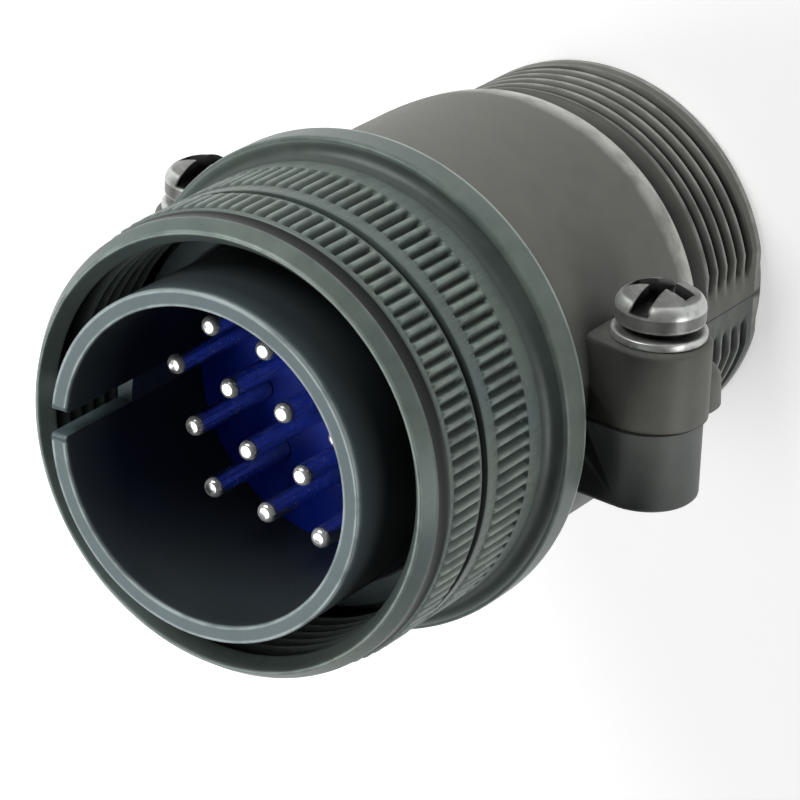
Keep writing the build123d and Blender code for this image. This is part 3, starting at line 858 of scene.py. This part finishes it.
# Painted shade in the recess: its walls from their mouths down, and its floor
def paintRecessShade(piece):
    s = screw
    half = s["slotWidth"] / 2 + 0.02
    wear_and_painted_light = piece.data.attributes["wear_and_painted_light"].data
    for vert in piece.data.vertices:
        across, along, level = (abs(vert.co.x) / mm, abs(vert.co.y) / mm, vert.co.z / mm)
        inSlot = across < half and level > s["crown"] - s["slotDepth"] - 0.02
        inCross = along < half and across < s["crossReach"] + 0.02 and level > s["crown"] - s["crossDepth"] - 0.02
        if inSlot or inCross:
            share = min(1, math.hypot(across, along) / s["headRadius"])
            crown = s["crown"] - (s["crown"] - s["sideTop"]) * share ** 2.2
            wear_and_painted_light[vert.index].value = -1 if level < crown - 0.25 else -0.4


def makeScrews():
    s = screw
    piece = toObject(turned(screwOutline(), s["steps"], 0.12), "clamp_screws_pair")
    combine(piece, slotBox(3 * s["headRadius"], s["slotWidth"], s["slotDepth"], s["slotTurn"]), "DIFFERENCE")
    combine(piece, slotBox(2 * s["crossReach"], s["slotWidth"], s["crossDepth"], s["slotTurn"] + 90), "DIFFERENCE")
    paintRecessShade(piece)
    return atBothEars(piece)


def makeWashers():
    w = washer
    bm = startMesh()
    top = w["high"] - w["lift"]
    # Last column: wear and painted highlight on the washer's top and outer side
    drawOutline(bm, [(w["innerRadius"], top, 0.1, 0.3), (w["outerRadius"], top, 0.12, 0.9),
                     (w["outerRadius"], w["low"], 0.1, 0.7), (w["innerRadius"], w["low"], 0.1, 0.0)], 0.3)
    sweep = 360 - w["gap"]
    drop = Vector((0, 0, w["lift"] * mm / w["steps"]))
    bmesh.ops.spin(bm, geom=list(bm.verts) + list(bm.edges) + list(bm.faces), cent=(0, 0, 0), axis=(0, 0, 1),
                   dvec=drop, angle=math.radians(sweep), steps=w["steps"], use_merge=False,
                   use_normal_flip=False, use_duplicate=False)
    bmesh.ops.recalc_face_normals(bm, faces=bm.faces)
    return atBothEars(toObject(bm, "lock_washers_pair"))


finishPiece(makeScrews(), screwSteel, "plug", ["clamp_screws"])
finishPiece(makeWashers(), screwSteel, "plug", ["lock_washers"])
print("clamp hardware made")


# Floor, light and camera

studio = {
    "floorSize": 3.0, "floorColour": 0.75, "floorGlow": 0.5, "worldForLight": 0.05, "horizonGlow": 0.9,
    "horizonTop": 0.3,
    "cameraPlace": (-158.671, -127.765, 285.532), "aim": (-1.768, 2.136, 30.823), "roll": -120.08, "lens": 202.5,
}


def seenByEye(tree):
    path = addNode(tree, "ShaderNodeLightPath").outputs
    seen = calculate(tree, "ADD", path["Is Camera Ray"], path["Is Glossy Ray"])
    return calculate(tree, "MINIMUM", calculate(tree, "ADD", seen, path["Is Transmission Ray"]), 1.0)


def makeFloor():
    bm = bmesh.new()
    bmesh.ops.create_grid(bm, x_segments=2, y_segments=2, size=studio["floorSize"] / 2)
    floor = toObject(bm, "studio_floor")
    material = bpy.data.materials.new("pale_floor")
    material.use_nodes = True
    tree = material.node_tree
    tree.nodes.remove(tree.nodes["Principled BSDF"])
    shade = studio["floorColour"]
    diffuse = addNode(tree, "ShaderNodeBsdfDiffuse", None, {"Color": (shade, shade, shade, 1)})
    glow = addNode(tree, "ShaderNodeEmission", None, {"Color": (1, 1, 1, 1)})
    tree.links.new(calculate(tree, "MULTIPLY", seenByEye(tree), studio["floorGlow"]), glow.inputs["Strength"])
    both = addNode(tree, "ShaderNodeAddShader", None, {0: diffuse.outputs[0], 1: glow.outputs[0]})
    tree.links.new(both.outputs[0], tree.nodes["Material Output"].inputs["Surface"])
    floor.data.materials.append(material)


def makeWorld():
    world = bpy.data.worlds.new("studio")
    bpy.context.scene.world = world
    world.use_nodes = True
    tree = world.node_tree
    background = tree.nodes["Background"]
    background.inputs["Color"].default_value = (1, 1, 1, 1)
    direction = addNode(tree, "ShaderNodeTexCoord").outputs["Generated"]
    height = addNode(tree, "ShaderNodeSeparateXYZ", None, {"Vector": direction}).outputs["Z"]
    glow = spread(tree, height, 0.0, studio["horizonTop"], studio["horizonGlow"], 0.0)
    strength = calculate(tree, "ADD", calculate(tree, "MULTIPLY", seenByEye(tree), glow), studio["worldForLight"])
    tree.links.new(strength, background.inputs["Strength"])


def addLamp(name, place, aim, size, power):
    light = bpy.data.lights.new(name, "AREA")
    light.shape = "RECTANGLE"
    light.size, light.size_y = size
    light.energy = power
    lamp = bpy.data.objects.new(name, light)
    lamp.location = Vector(place)
    lamp.rotation_mode = "QUATERNION"
    lamp.rotation_quaternion = (Vector(aim) - Vector(place)).to_track_quat("-Z", "Y")
    bpy.context.scene.collection.objects.link(lamp)


def makeCamera():
    data = bpy.data.cameras.new("camera")
    data.sensor_width = 36
    data.lens = studio["lens"]
    data.clip_start = 0.01
    data.clip_end = 10
    eye = bpy.data.objects.new("camera", data)
    place = Vector(studio["cameraPlace"]) * mm
    look = (Vector(studio["aim"]) * mm - place).to_track_quat("-Z", "Y")
    roll = Matrix.Rotation(math.radians(studio["roll"]), 4, "Z")
    eye.matrix_world = Matrix.Translation(place) @ look.to_matrix().to_4x4() @ roll
    bpy.context.scene.collection.objects.link(eye)
    bpy.context.scene.camera = eye


makeFloor()
makeWorld()
addLamp("key", (0.18, -0.385, 0.295), (0, 0, 0.03), (0.3, 0.3), 1.95)
addLamp("back", (0.2, 0.167, 0.374), (0, 0, 0.046), (0.32, 0.32), 1.25)
addLamp("side", (-0.44, 0.1, 0.08), (0, 0, 0.03), (0.25, 0.2), 0.75)
makeCamera()
bpy.context.scene.view_settings.view_transform = "Standard"
print("studio set")
